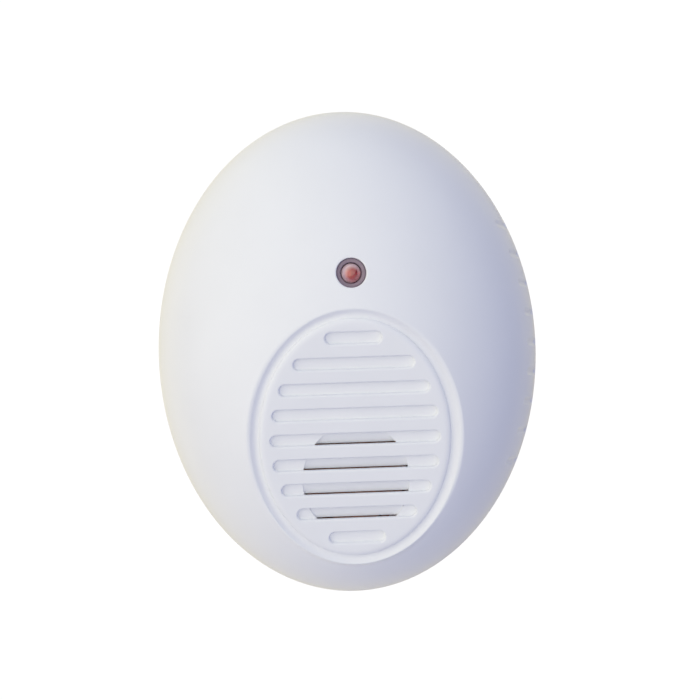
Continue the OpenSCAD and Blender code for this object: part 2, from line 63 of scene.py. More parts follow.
HALF_W = cover_high.x
HALF_H = cover_high.z
SEAM = cover_high.y                      # the plane where the two covers meet
DOME = 36 * MM                           # how far the whole dome would stand out from the seam
WALL = 2 * MM

PANEL_TILT = math.radians(15)
PANEL_MIDDLE = Vector((0, SEAM - 27.5 * MM, -21.7 * MM))
PANEL_OUT = Vector((0, -math.cos(PANEL_TILT), -math.sin(PANEL_TILT)))
PANEL_UP = Vector((0, -math.sin(PANEL_TILT), math.cos(PANEL_TILT)))
PANEL_T = 2.2 * MM
GROOVE = (25.2 * MM, 31.8 * MM)          # half axes of the groove's outer edge
GROOVE_W = 2.1 * MM
GROOVE_D = 1.0 * MM
SHOULDER = 1.5 * MM                      # the panel's rounded edge, inside the groove
SHOULDER_DROP = 0.55 * MM

SLOTS = 9
SLOT_PITCH = 6.25 * MM
SLOT_R = 1.45 * MM
SLOT_D = 1.1 * MM
SLOT_FIELD = (20.5 * MM, 26.5 * MM)      # half axes of the oval that the slots' ends lie on
OPEN_SLOTS = (4, 5, 6, 7)                # counted from the top
WINDOW = (13 * MM, 14.4 * MM)            # half axes of the oval window in front of the sounder
WINDOW_DROP = 10.8 * MM
COLLAR_D = 4.3 * MM
COLLAR_T = 2 * MM
BLADE_D = 0.9 * MM                       # how far a blade runs back behind its slot's floor
BLADE_T = 0.65 * MM

FLUTES = 9
FLUTE_PITCH = 7.4 * MM
FLUTE_R = 0.95 * MM
FLUTE_D = 0.5 * MM
FLUTE_START = 5.5 * MM
FLUTE_REACH = 13.7 * MM
FLUTE_LIFT = 0.7 * MM

LAMP_HOLE = 3.6 * MM
LAMP_COLLAR = 1.4 * MM
LAMP_LIFT = (lens_low.z + lens_high.z) / 2
LAMP_BACK = lens_high.y                  # back of the lens's flange
LAMP_LENGTH = lens_high.y - lens_low.y
FLANGE_R = (lens_high.x - lens_low.x) / 2
LENS_R = 2.5 * MM

PAD_W = 37 * MM
PAD_R = 7.5 * MM
PAD_OUT = 1.5 * MM
REAR_INSET = 8 * MM
LABEL = (20 * MM, 9 * MM)                # half sides of the blank label recess
LABEL_DROP = 28 * MM
LABEL_SINK = 0.4 * MM
HOUSING_SCREW_AT = (24 * MM, 34 * MM)
WELL_R = 3.1 * MM
WELL_D = 5 * MM
SLEEVE_HOLE = 1.85 * MM

STRIP = 0.1 * MM                         # flat strip kept beside a rounded edge
SEAM_POINTS = 240                        # points round each cover's seam
OUTSIDE_RINGS = 46                       # rings of points over the dome's outside
INSIDE_RINGS = 30                        # and over its inside, which has fewer points in each ring
INSIDE_POINTS = 140


# ---------------------------------------------------------------- building meshes

class Mould:
    """Points and faces of one piece. A point that is given twice is one point."""

    MERGE = 1e-7                         # metres between points that count as one
    TOLERANCE = 1e-6                     # mm, for the triangles of a filled face

    def __init__(self):
        self.points = []
        self.faces = []
        self.known = {}

    def point(self, place):
        """The number of a point, which is added if it isn't known yet."""
        key = tuple(round(c / self.MERGE) for c in place)
        if key not in self.known:
            self.known[key] = len(self.points)
            self.points.append(tuple(place))
        return self.known[key]

    def face(self, places):
        """A face through some places. One that shrinks to a line is left out."""
        ids = list(dict.fromkeys(self.point(p) for p in places))
        if len(ids) > 2:
            self.faces.append(ids)

    def bridge(self, one, other):
        """Quads between two closed loops with the same number of points."""
        for i in range(len(one)):
            j = (i + 1) % len(one)
            self.face([one[i], one[j], other[j], other[i]])

    def loft(self, loops):
        """A skin from each loop to the next."""
        for one, other in zip(loops, loops[1:]):
            self.bridge(one, other)

    def lathe(self, profile, place, count=48):
        """Turns (radius, height) points round an axis. place(x, y, height) puts them in the frame."""
        loops = []
        for radius, height in profile:
            angles = [2 * math.pi * k / count for k in range(count)]
            loops.append([place(radius * math.cos(a), radius * math.sin(a), height) for a in angles])
        self.loft(loops)

    def fill(self, loops, inner, flat):
        """Triangles inside the first loop and outside the others. flat(point) gives a plane map in mm."""
        rims = [np.array([flat(p) for p in loop]) for loop in loops]
        spots = np.array([flat(p) for p in inner]).reshape(-1, 2)
        keep = [k for k in np.flatnonzero(inside(spots, rims)) if clear_of(spots[k], rims)]
        points = [p for loop in loops for p in loop] + [inner[k] for k in keep]
        edges, first = [], 0
        for loop in loops:
            edges += [(first + i, first + (i + 1) % len(loop)) for i in range(len(loop))]
            first += len(loop)
        plane = [Vector(p) for rim in rims for p in rim] + [Vector(spots[k]) for k in keep]
        made = delaunay_2d_cdt(plane, edges, [], 0, self.TOLERANCE)
        corners = np.array([tuple(v) for v in made[0]])
        triangles = np.array(made[2])
        for triangle in triangles[inside(corners[triangles].mean(1), rims)]:
            self.face([points[made[3][v][0]] for v in triangle])

    def build(self, name, slot, *nodes, crease=None):
        """Makes the piece, sharp above crease degrees, in place of the CAD nodes that are named."""
        mesh = bpy.data.meshes.new(name)
        mesh.from_pydata(self.points, [], self.faces)
        work = bmesh.new()
        work.from_mesh(mesh)
        bmesh.ops.recalc_face_normals(work, faces=work.faces)
        work.to_mesh(mesh)
        work.free()
        mesh.shade_smooth()
        if crease:
            mesh.set_sharp_from_angle(angle=math.radians(crease))
        piece = bpy.data.objects.new(name, mesh)
        bpy.context.scene.collection.objects.link(piece)
        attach(piece, BODY)
        if nodes:
            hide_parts(*nodes)
        piece.data.materials.append(MATERIALS[slot])


def inside(spots, rims):
    """Which spots lie inside an odd number of closed rims."""
    odd = np.zeros(len(spots), bool)
    if not len(spots):
        return odd
    x, y = spots[:, :1], spots[:, 1:]
    for rim in rims:
        following = np.roll(rim, -1, 0)
        crossed = (rim[:, 1] > y) != (following[:, 1] > y)
        rise = np.where(following[:, 1] == rim[:, 1], 1, following[:, 1] - rim[:, 1])
        at = rim[:, 0] + (y - rim[:, 1]) / rise * (following[:, 0] - rim[:, 0])
        odd ^= (crossed & (x < at)).sum(1) % 2 == 1
    return odd


def clear_of(spot, rims, room=0.45):
    """Is a spot further than some room, in mm, from every rim's points?"""
    return all(np.hypot(*(rim - spot).T).min() > room for rim in rims)


def mix(a, b, t):
    """The value a share t of the way from a to b."""
    return a + (b - a) * t


def turn(count):
    """Angles spread evenly round a circle."""
    return [2 * math.pi * k / count for k in range(count)]


def quarter(steps):
    """Sine and cosine pairs round a quarter circle."""
    return [(math.sin(a), math.cos(a)) for a in (math.pi / 2 * k / steps for k in range(steps + 1))]


# ---------------------------------------------------------------- the front cover's surfaces

class Dome:
    """Half of an ellipsoid in front of the seam, shrunk by a wall thickness."""

    def __init__(self, shrink=0.0):
        self.a = HALF_W - shrink
        self.c = HALF_H - shrink
        self.d = DOME - shrink

    def share(self, x, z):
        """Squared distance from the middle, where the seam's outline is at 1."""
        return (x / self.a) ** 2 + (z / self.c) ** 2

    def above(self, x, z):
        """The dome's point in front of a place on the seam's plane."""
        return Vector((x, SEAM - self.d * math.sqrt(max(0, 1 - self.share(x, z))), z))

    def beside(self, rise, z, sink=0.0):
        """The point of the dome's right flank at a distance in front of the seam."""
        out = self.a * math.sqrt(1 - (rise / self.d) ** 2 - (z / self.c) ** 2)
        return Vector((out - sink, SEAM - rise, z))

    def ring(self, rise, count, inset=0.0):
        """The dome's outline at a distance in front of the seam."""
        s = math.sqrt(1 - (rise / self.d) ** 2)
        return [Vector(((self.a * s - inset) * math.cos(t), SEAM - rise, (self.c * s - inset) * math.sin(t)))
                for t in turn(count)]

    def flat(self, p):
        """A map of the dome in mm in which every stretch has about its real length."""
        x, z = p[0] / self.a, p[2] / self.c
        s = math.hypot(x, z)
        stretch = math.asin(min(1, s)) / s if s > 1e-9 else 1
        return (x * stretch * self.a / MM, z * stretch * self.a / MM)

    def grid(self, count, around):
        """Points spread evenly over the dome."""
        found = []
        for k in range(1, count):
            s = math.sin(math.pi / 2 * k / count)
            turns = max(8, round(around * k / count))
            for t in turn(turns):
                t += math.pi * (k % 2) / turns
                found.append(self.above(self.a * s * math.cos(t), self.c * s * math.sin(t)))
        return found


OUTSIDE = Dome()
INSIDE = Dome(WALL)


def panel(x, y, z=0.0):
    """A point given on the panel: across, up, and out of its face."""
    return PANEL_MIDDLE + Vector((x, 0, 0)) + PANEL_UP * y + PANEL_OUT * z


def dome_over_panel(x, y):
    """How far the dome stands out from the panel's plane at a place on the panel."""
    start = panel(x, y)
    size = Vector((1 / OUTSIDE.a, 1 / OUTSIDE.d, 1 / OUTSIDE.c))
    origin = (start - Vector((0, SEAM, 0))) * size
    way = PANEL_OUT * size
    a, b, c = way.dot(way), origin.dot(way), origin.dot(origin) - 1
    return (-b + math.sqrt(b * b - a * c)) / a


def groove_oval(inset, count=160):
    """Oval at a distance inside the groove's outer edge, or outside it if negative."""
    return [((GROOVE[0] - inset) * math.cos(t), (GROOVE[1] - inset) * math.sin(t)) for t in turn(count)]


def groove_rows():
    """Loops from the dome, over the groove's soft outer lip, along its hollow and up the panel's shoulder."""
    reach, lip, bend = 1.0 * MM, 0.35 * MM, 0.3 * MM
    hollow, foot = 1.35 * MM, 0.3 * MM
    slope = (GROOVE_D - lip) * math.pi / 2 / hollow
    rows = []
    for inset in (-reach - 0.6 * MM, -reach - 0.3 * MM, -reach):
        rows.append([panel(x, y, dome_over_panel(x, y)) for x, y in groove_oval(inset)])

    start = [(x, y, dome_over_panel(x, y)) for x, y in groove_oval(-reach)]
    corner = [(x, y, bend * slope - lip) for x, y in groove_oval(-bend)]
    end = [(x, y, -lip) for x, y in groove_oval(0)]
    for t in (k / 8 for k in range(1, 9)):
        rows.append([panel(*(mix(mix(a, b, t), mix(b, c, t), t) for a, b, c in zip(*places)))
                     for places in zip(start, corner, end)])

    def add(inset, z):
        rows.append([panel(x, y, z) for x, y in groove_oval(inset)])

    for t in (k / 8 for k in range(1, 9)):
        add(hollow * t, -lip - (GROOVE_D - lip) * math.sin(math.pi / 2 * t))
    add(GROOVE_W - foot, -GROOVE_D)
    for s, c in quarter(4)[1:]:
        add(GROOVE_W - foot * (1 - s), -GROOVE_D + foot * (1 - c))
    for s, c in quarter(8):
        add(GROOVE_W + SHOULDER * (1 - c), -SHOULDER_DROP * (1 - s))
    return rows


def slot_middle(i):
    """Height of slot i on the panel."""
    return ((SLOTS - 1) / 2 - i) * SLOT_PITCH


def slot_half(i):
    """Half length of slot i, which ends on the oval field."""
    return SLOT_FIELD[0] * math.sqrt(1 - (slot_middle(i) / SLOT_FIELD[1]) ** 2)


def window_half(y):
    """Half width of the window at a height on the panel."""
    rise = (y + WINDOW_DROP) / WINDOW[1]
    return WINDOW[0] * math.sqrt(max(0, 1 - rise * rise))


def slot_outline(i, grow):
    """Points round slot i, moved outwards by grow: the top from left to right, then the bottom back."""
    middle, straight, r = slot_middle(i), slot_half(i) - SLOT_R, SLOT_R + grow
    crowded = 0.4 * MM                   # a stop this near the window's corner gives way to it
    top, bottom = [], []
    for points, y in ((top, middle + SLOT_R), (bottom, middle - SLOT_R)):
        stops = [straight * k / 10 for k in range(-10, 11)]
        if i in OPEN_SLOTS:
            w = window_half(y)
            stops = [s for s in stops if abs(abs(s) - w) > crowded] + [-w, w]
        points += sorted(stops)
    ends = [math.pi * k / 12 for k in range(1, 12)]
    right = [(straight + r * math.sin(a), middle + r * math.cos(a)) for a in ends]
    left = [(-straight - r * math.sin(a), middle - r * math.cos(a)) for a in ends]
    return ([(x, middle + r) for x in top] + right + [(x, middle - r) for x in reversed(bottom)] + left)


def slot_rows(i, edge=0.4 * MM):
    """Loops over a slot's soft rim and down its wall, and round its bottom corner where it has a floor."""
    rows = [(edge + STRIP, 0)]
    rows += [(edge * (1 - s), -edge * (1 - c)) for s, c in quarter(5)]
    if i in OPEN_SLOTS:
        rows.append((0, -SLOT_D))
    else:
        corner = 0.25 * MM
        rows += [(-corner * (1 - c), -SLOT_D + corner * (1 - s)) for s, c in quarter(3)]
        rows.append((-corner - STRIP, -SLOT_D))
    return [[panel(x, y, z) for x, y in slot_outline(i, grow)] for grow, z in rows]


def open_floor(mould, i):
    """Closes an open slot's floor beside the window, and returns the loop round its opening, at the back."""
    outline = slot_outline(i, 0)
    middle = slot_middle(i)

    def corner(side, y):
        w = side * window_half(y)
        return min(range(len(outline)), key=lambda k: math.hypot(outline[k][0] - w, outline[k][1] - y))

    top_left, top_right = corner(-1, middle + SLOT_R), corner(1, middle + SLOT_R)
    low_right, low_left = corner(1, middle - SLOT_R), corner(-1, middle - SLOT_R)
    steps = [mix(SLOT_R, -SLOT_R, k / 6) + middle for k in range(1, 6)]
    right = [(window_half(y), y) for y in steps]
    left = [(-x, y) for x, y in reversed(right)]
    floor = lambda points: [panel(x, y, -SLOT_D) for x, y in points]
    mould.face(floor(outline[top_right:low_right + 1] + right[::-1]))
    mould.face(floor(outline[low_left:] + outline[:top_left + 1] + left[::-1]))
    opening = outline[top_left:top_right + 1] + right + outline[low_right:low_left + 1] + left
    bevel = PANEL_T - SLOT_D
    back = []
    for x, y in opening:
        low = y - bevel * (middle + SLOT_R - y) / (2 * SLOT_R)
        back.append(panel(x * window_half(low) / window_half(y), low, -PANEL_T))
    mould.bridge(floor(opening), back)
    return back


def flute_outline(k, r):
    """(distance from the seam, height) round flute k, with round ends of radius r."""
    middle, half = (FLUTE_START + FLUTE_REACH) / 2, (FLUTE_REACH - FLUTE_START) / 2 - FLUTE_R
    height = FLUTE_LIFT + (k - (FLUTES - 1) / 2) * FLUTE_PITCH
    points = []
    for side in (1, -1):
        for step in range(9):
            a = math.pi * (step / 8 - 0.5)
            points.append((middle + side * (half + r * math.cos(a)), height + side * r * math.sin(a)))
        points += [(middle + side * half * (1 - step / 4), height + side * r) for step in range(1, 8)]
    return points


def flute_rows(k):
    """Loops down a flute's side, soft at its lip, to the line along its bottom."""
    lip_r = FLUTE_R + 0.25 * MM
    rows = []
    for step in range(11):
        sink = FLUTE_D * (1 - math.cos(math.pi * step / 10)) / 2
        outline = flute_outline(k, lip_r * (1 - step / 10))
        rows.append([OUTSIDE.beside(rise, z, sink) for rise, z in outline])
    return rows


def lamp_rows(count=48):
    """Loops into the lamp's hole and back up the outside of its collar, inside the dome."""
    edge = 0.35 * MM

    def ring(r, y=None, sink=0.0, dome=OUTSIDE):
        found = []
        for t in turn(count):
            p = dome.above(r * math.cos(t), LAMP_LIFT + r * math.sin(t))
            found.append(Vector((p.x, y if y is not None else p.y + sink, p.z)))
        return found

    rows = [ring(LAMP_HOLE + edge + 0.15 * MM)]
    rows += [ring(LAMP_HOLE + edge * (1 - s), sink=edge * (1 - c)) for s, c in quarter(5)]
    rows += [ring(LAMP_HOLE, LAMP_BACK), ring(LAMP_HOLE + LAMP_COLLAR, LAMP_BACK)]
    rows += [ring(LAMP_HOLE + LAMP_COLLAR, dome=INSIDE)]
    return rows


def behind_panel(p):
    """An inside point, moved back to the panel's back face where the dome would stand in front of it."""
    limit = PANEL_MIDDLE.y + (PANEL_T - math.sin(PANEL_TILT) * (p.z - PANEL_MIDDLE.z)) / math.cos(PANEL_TILT)
    return Vector((p.x, max(p.y, limit), p.z))


def front_cover():
    """The dome with its groove, slotted panel, lamp hole and flutes, and its inner side."""
    mould = Mould()
    foot = 0.35 * MM
    seam_rows = [OUTSIDE.ring(foot, SEAM_POINTS)]
    seam_rows += [OUTSIDE.ring(foot * (1 - s), SEAM_POINTS, foot * (1 - c)) for s, c in quarter(4)[1:]]
    seam_rows.append(INSIDE.ring(0, SEAM_POINTS))
    mould.loft(seam_rows)

    groove = groove_rows()
    mould.loft(groove)
    lamp = lamp_rows()
    mould.loft(lamp)
    flutes = [flute_rows(k) for k in range(FLUTES)]
    for rows in flutes:
        mould.loft(rows)
    holes = [groove[0], lamp[0]] + [rows[0] for rows in flutes]
    mould.fill([seam_rows[0]] + holes, OUTSIDE.grid(OUTSIDE_RINGS, SEAM_POINTS), OUTSIDE.flat)

    slots = [slot_rows(i) for i in range(SLOTS)]
    backs = []
    for i, rows in enumerate(slots):
        mould.loft(rows)
        if i in OPEN_SLOTS:
            backs.append(open_floor(mould, i))
        else:
            mould.face(rows[-1])
    plane = lambda p: ((p - PANEL_MIDDLE).x / MM, (p - PANEL_MIDDLE).dot(PANEL_UP) / MM)
    mould.fill([groove[-1]] + [rows[0] for rows in slots], [], plane)

    grid = [behind_panel(p) for p in INSIDE.grid(INSIDE_RINGS, INSIDE_POINTS)]
    mould.fill([seam_rows[-1], lamp[-1]] + backs, grid, INSIDE.flat)
    mould.build("front_cover_shell", "housing_plastic", "front_cover", crease=50)


def louvres():
    """The blades behind the open slots, and the collar that the sounder's gasket seals on."""
    mould = Mould()
    root = SLOT_R + 0.5 * MM
    root_t = 0.9 * MM
    nose, under = 0.12 * MM, 0.3 * MM    # the blade's rounded lower edge, and how far its back is cut away
    overlap, gap = 0.6 * MM, 0.01 * MM   # into the cover beside the window, and behind the slot's floor
    slope = BLADE_D / (2 * SLOT_R)
    profile = [(root, 0), (SLOT_R, 0), (-SLOT_R + nose, -BLADE_D + nose * slope),
               (-SLOT_R + nose / 4, -BLADE_D - nose / 4), (-SLOT_R + nose / 4, -BLADE_D - nose),
               (-SLOT_R + under, -BLADE_D - BLADE_T), (root, -root_t)]
    for i in OPEN_SLOTS:
        ends = []
        for side in (-1, 1):
            ends.append([panel(side * (window_half(slot_middle(i) + min(y, 0)) + overlap),
                               slot_middle(i) + y, -SLOT_D - gap + z) for y, z in profile])
        mould.bridge(*ends)
        mould.face(ends[0])
        mould.face(ends[1])
    rows = []
    end = -PANEL_T - COLLAR_D
    for grow, z in ((0, -PANEL_T), (0, end), (COLLAR_T, end), (COLLAR_T, -PANEL_T)):
        half, rise = WINDOW[0] + grow, WINDOW[1] + grow
        rows.append([panel(half * math.cos(t), rise * math.sin(t) - WINDOW_DROP, z) for t in turn(96)])
    mould.loft(rows + rows[:1])
    mould.build("sound_louvres", "housing_plastic", crease=40)


# ---------------------------------------------------------------- the lamp

def on_lamp(x, z, height):
    """A point given from the middle of the lamp's back: across, up, and out towards the front."""
    return Vector((x, LAMP_BACK - height, LAMP_LIFT + z))


def lamp_lens():
    """Clear red body with a domed end and a flange."""
    edge = 0.1 * MM
    flange_t = 1.0 * MM
    straight = LAMP_LENGTH - LENS_R
    profile = [(0, 0), (FLANGE_R - edge, 0), (FLANGE_R, edge), (FLANGE_R, flange_t - edge),
               (FLANGE_R - edge, flange_t), (LENS_R + edge / 2, flange_t), (LENS_R, flange_t + edge)]
    profile += [(LENS_R * c, straight + LENS_R * s) for s, c in quarter(14)]
    lens = Mould()
    lens.lathe(profile, on_lamp, 64)
    lens.build("lamp_lens", "lamp_lens", "led_lens")


def lamp_bezel():
    """Ring round the lens, with a rounded front and a lip behind the cover. Its dark purple-grey colour is
    painted shade with a painted red reflection, for the shaded gap round the lens.
    """
    lip_r = (bezel_high.x - bezel_low.x) / 2
    outer, inner, flange_room = LAMP_HOLE - 0.05 * MM, LENS_R + 0.02 * MM, FLANGE_R + 0.1 * MM
    back, front = LAMP_BACK - bezel_high.y, LAMP_BACK - bezel_low.y
    edge, throat = 0.35 * MM, 1.1 * MM
    rows = [(flange_room, back), (lip_r, back), (lip_r, 0), (outer, 0)]
    rows += [(outer - edge * (1 - c), front - edge * (1 - s)) for s, c in quarter(6)]
    rows += [(inner + edge * (1 - s), front - edge * (1 - c)) for s, c in quarter(6)]
    rows += [(inner, throat), (flange_room, throat), (flange_room, back)]
    bezel = Mould()
    bezel.lathe(rows, on_lamp, 64)
    bezel.build("lamp_bezel", "bezel_plastic", "led_bezel", crease=50)


def lamp_lead_frame():
    """The two metal posts inside the lens: one carries a small reflector cup, the other the wire."""
    foot = 0.1 * MM
    stem_r, cup_r, post_r = 0.35, 0.95, 0.4                      # radii here are in mm
    cup_base, cup_rim = 2.2 * MM, 2.9 * MM
    cup_across, post_across = -0.35 * MM, 1.25 * MM
    cup = [(0, foot), (stem_r, foot), (stem_r, 1.5 * MM), (0.7, 1.6 * MM), (cup_r, cup_rim - 0.1 * MM),
           (cup_r, cup_rim), (0.85, cup_rim), (0.45, cup_base), (0, cup_base)]
    post = [(0, foot), (post_r, foot), (post_r, 2.7 * MM), (0.25, cup_rim), (0, cup_rim)]
    metalwork = Mould()
    for profile, across in ((cup, cup_across), (post, post_across)):
        metalwork.lathe([(r * MM, height) for r, height in profile],
                        lambda x, z, height: on_lamp(x + across, z, height), 32)
    metalwork.build("lamp_lead_frame", "tinned_wire", crease=40)


# ---------------------------------------------------------------- the rear cover

class Dish:
    """The rear cover's outside, or its inside when shrunk by a wall thickness."""

    def __init__(self, shrink=0.0):
        self.a = rear_high.x - shrink
        self.c = rear_high.z - shrink
        self.d = -SEAM - PAD_OUT - shrink

    def ring(self, angle, count=SEAM_POINTS):
        """The outline at an angle round the rounded edge: 0 at the seam, a quarter turn at the back."""
        inset = REAR_INSET * (1 - math.cos(angle))
        y = SEAM + self.d * math.sin(angle)
        a, c = self.a - inset, self.c - inset
        return [Vector((a * math.cos(t), y, c * math.sin(t))) for t in turn(count)]


def bar(half, r, count=16):
    """A closed outline with round ends, as (x, z)."""
    angles = [math.pi * k / count for k in range(count + 1)]
    right = [(half + r * math.sin(a), r * math.cos(a)) for a in angles]
    return right + [(-x, -z) for x, z in right]


def round_box(half_x, half_z, r, count=5):
    """A closed outline with rounded corners, as (x, z)."""
    points = []
    for quadrant in range(4):
        side = 1 if quadrant in (0, 3) else -1
        lift = 1 if quadrant in (0, 1) else -1
        for step in range(count + 1):
            a = math.pi / 2 * (quadrant + step / count)
            points.append((side * (half_x - r) + r * math.cos(a), lift * (half_z - r) + r * math.sin(a)))
    return points


def round_hole(x, z, rings, count=40):
    """Loops round an axis along Y, one for each (radius, depth) pair."""
    return [[Vector((x + r * math.cos(t), y, z + r * math.sin(t))) for t in turn(count)] for r, y in rings]


def lip(r, y, edge, steps=4):
    """(radius, depth) pairs over the rounded rim of a hole that runs forward from the face at y."""
    rings = [(r + edge + STRIP, y)]
    return rings + [(r + edge * (1 - s), y - edge * (1 - c)) for s, c in quarter(steps)]


def pad_rows():
    """Loops up the side of the raised pad, from the cover's back to the socket face."""
    foot, edge = 0.3 * MM, 0.5 * MM
    half = PAD_W / 2 - PAD_R
    steps = [(foot + 0.2 * MM, -PAD_OUT)]
    steps += [(foot * (1 - s), -PAD_OUT + foot * (1 - c)) for s, c in quarter(4)]
    steps += [(-edge * (1 - c), -edge * (1 - s)) for s, c in quarter(5)]
    steps.append((-edge - STRIP, 0))
    return [[Vector((x, y, z)) for x, z in bar(half, PAD_R + grow)] for grow, y in steps]


def well_rows(x, z):
    """Loops down a housing screw's well, through its floor and back up round its pillar."""
    back, corner = -PAD_OUT, 0.2 * MM
    floor, shank, pillar = back - WELL_D, 1.7 * MM, 4 * MM
    rings = lip(WELL_R, back, 0.4 * MM)
    rings += [(WELL_R - corner * (1 - c), floor + corner * (1 - s)) for s, c in quarter(3)]
    rings += [(shank, floor), (shank, SEAM), (pillar, SEAM), (pillar, back - WALL)]
    return round_hole(x, z, rings)


def label_rows():
    """Loops into the blank recess for a rating label."""
    radius = 1.5 * MM
    edge = 0.2 * MM
    steps = [(edge + STRIP, 0)] + [(edge * (1 - s), -edge * (1 - c)) for s, c in quarter(3)]
    steps += [(-edge * (1 - c), -LABEL_SINK + edge * (1 - s)) for s, c in quarter(3)]
    rows = []
    for grow, y in steps:
        outline = round_box(LABEL[0] + grow, LABEL[1] + grow, radius + grow)
        rows.append([Vector((x, y - PAD_OUT, z - LABEL_DROP)) for x, z in outline])
    return rows


def rear_cover():
    """The dished back with its pad, pin holes, screw wells and label recess, and its inner side."""
    mould = Mould()
    back_x, back_z = 0.99, 0.992         # the flat back starts this share of the way out to the edge
    outside, inner = Dish(), Dish(WALL)
    flat = lambda p: (p[0] / MM, p[2] / MM)
    edge_rows = [inner.ring(0)] + [outside.ring(math.pi / 2 * k / 14) for k in range(15)]
    edge_rows.append([Vector((p.x * back_x, -PAD_OUT, p.z * back_z)) for p in edge_rows[-1]])
    mould.loft(edge_rows)

    pad = pad_rows()
    pin_x = (pin_low.x + pin_high.x) / 2
    pin_rings = lip(SLEEVE_HOLE, 0, 0.25 * MM) + [(SLEEVE_HOLE, -PAD_OUT - WALL)]
    pins = [round_hole(x, 0, pin_rings) for x in (pin_x, -pin_x)]
    wells = [well_rows(side * HOUSING_SCREW_AT[0], lift * HOUSING_SCREW_AT[1])
             for side in (-1, 1) for lift in (-1, 1)]
    label = label_rows()
    for rows in [pad, label] + pins + wells:
        mould.loft(rows)
    mould.face(label[-1])
    mould.fill([pad[-1]] + [rows[0] for rows in pins], [], flat)
    mould.fill([edge_rows[-1], pad[0], label[0]] + [rows[0] for rows in wells], [], flat)

    inside_rows = [inner.ring(math.pi / 2 * k / 8) for k in range(8)]
    mould.loft(inside_rows)
    mould.fill([inside_rows[-1]] + [rows[-1] for rows in wells + pins], [], flat)
    mould.build("rear_cover_shell", "housing_plastic", "rear_cover", crease=50)


# ---------------------------------------------------------------- materials

class Shader:
    """One node material under construction."""

    def __init__(self, name):
        self.material = bpy.data.materials.new(name)
        self.material.use_nodes = True
        self.nodes = self.material.node_tree.nodes
        self.links = self.material.node_tree.links
        self.surface = self.nodes["Principled BSDF"]
        self.place = self.nodes.new("ShaderNodeTexCoord").outputs["Object"]

    def set(self, **values):
        """Sets inputs of the surface by name, with _ for a space."""
        for name, value in values.items():
            self.surface.inputs[name.replace("_", " ")].default_value = value
        return self

    def noise(self, size, detail=3, roughness=0.55, stretch=None):
        """Noise whose grains are about size metres across."""
        place = self.place
        if stretch:
            mapping = self.nodes.new("ShaderNodeMapping")
            mapping.inputs["Scale"].default_value = stretch
            self.links.new(place, mapping.inputs["Vector"])
            place = mapping.outputs["Vector"]
        node = self.nodes.new("ShaderNodeTexNoise")
        node.inputs["Scale"].default_value = 1 / size
        node.inputs["Detail"].default_value = detail
        node.inputs["Roughness"].default_value = roughness
        self.links.new(place, node.inputs["Vector"])
        return node.outputs["Fac"]

    def distance(self, x, z, x0, z0):
        """Distance of a place from an axis along Y."""
        total = None
        for value, middle in ((x, x0), (z, z0)):
            offset = self.math("SUBTRACT", value, middle)
            square = self.math("MULTIPLY", offset, offset)
            total = self.math("ADD", total, square) if total else square
        return self.math("SQRT", total)

    def math(self, operation, *values):
        """One step of arithmetic on numbers or outputs."""
        node = self.nodes.new("ShaderNodeMath")
        node.operation = operation
        for socket, value in zip(node.inputs, values):
            if isinstance(value, (int, float)):
                socket.default_value = value
            else:
                self.links.new(value, socket)
        return node.outputs["Value"]

    def between(self, factor, low, high, at=(0.3, 0.7), full=1.0):
        """A ramp between two colours, or between two numbers, over a factor's share of its full value."""
        if full != 1.0:
            factor = self.math("DIVIDE", factor, full)
        if isinstance(low, tuple):
            node = self.nodes.new("ShaderNodeValToRGB")
            node.color_ramp.elements[0].position, node.color_ramp.elements[1].position = at
            node.color_ramp.elements[0].color = (*low, 1)
            node.color_ramp.elements[1].color = (*high, 1)
            self.links.new(factor, node.inputs["Fac"])
            return node.outputs["Color"]
        node = self.nodes.new("ShaderNodeMapRange")
        node.inputs["From Min"].default_value, node.inputs["From Max"].default_value = at
        node.inputs["To Min"].default_value = low
        node.inputs["To Max"].default_value = high
        self.links.new(factor, node.inputs["Value"])
        return node.outputs["Result"]

    def to(self, socket, output):
        """Drives one input of the surface."""
        self.links.new(output, self.surface.inputs[socket])
        return self

    def bump(self, height, distance, strength=1.0):
        """Relief of some depth in metres, on top of any relief that the surface has."""
        node = self.nodes.new("ShaderNodeBump")
        node.inputs["Distance"].default_value = distance
        node.inputs["Strength"].default_value = strength
        self.links.new(height, node.inputs["Height"])
        last = self.surface.inputs["Normal"].links
        if last:
            self.links.new(last[0].from_socket, node.inputs["Normal"])
        self.links.new(node.outputs["Normal"], self.surface.inputs["Normal"])
        return self


def shade(colour, factor):
    """A colour made darker or lighter."""
    return tuple(min(1, c * factor) for c in colour)


def plastic(name, colour, roughness=0.4, grain=0.3 * MM, depth=0.01 * MM, variation=0.03, **values):
    """Moulded plastic: fine spark-eroded grain, faint flow marks and a slightly uneven gloss."""
    shader = Shader(name)
    shader.set(**values)
    broad = shader.noise(14 * MM, 4)
    dark, light = shade(colour, 1 - variation), shade(colour, 1 + variation / 2)
    shader.to("Base Color", shader.between(broad, dark, light))
    shader.to("Roughness", shader.between(shader.noise(5 * MM, 5), roughness * 0.88, roughness * 1.12))
    shader.bump(shader.noise(grain, 2), depth)
    return shader.material


def metal(name, colour, roughness=0.25, stretch=(1, 1, 1), depth=0.004 * MM):
    """Drawn or plated metal: fine lines, dull patches and small colour shifts."""
    shader = Shader(name)
    shader.set(Metallic=1.0)
    lines = shader.noise(0.4 * MM, 4, stretch=stretch)
    shader.to("Base Color", shader.between(shader.noise(2.5 * MM, 4), shade(colour, 0.86), colour))
    shader.to("Roughness", shader.between(lines, roughness * 0.7, roughness * 1.4))
    shader.bump(lines, depth)
    return shader.material


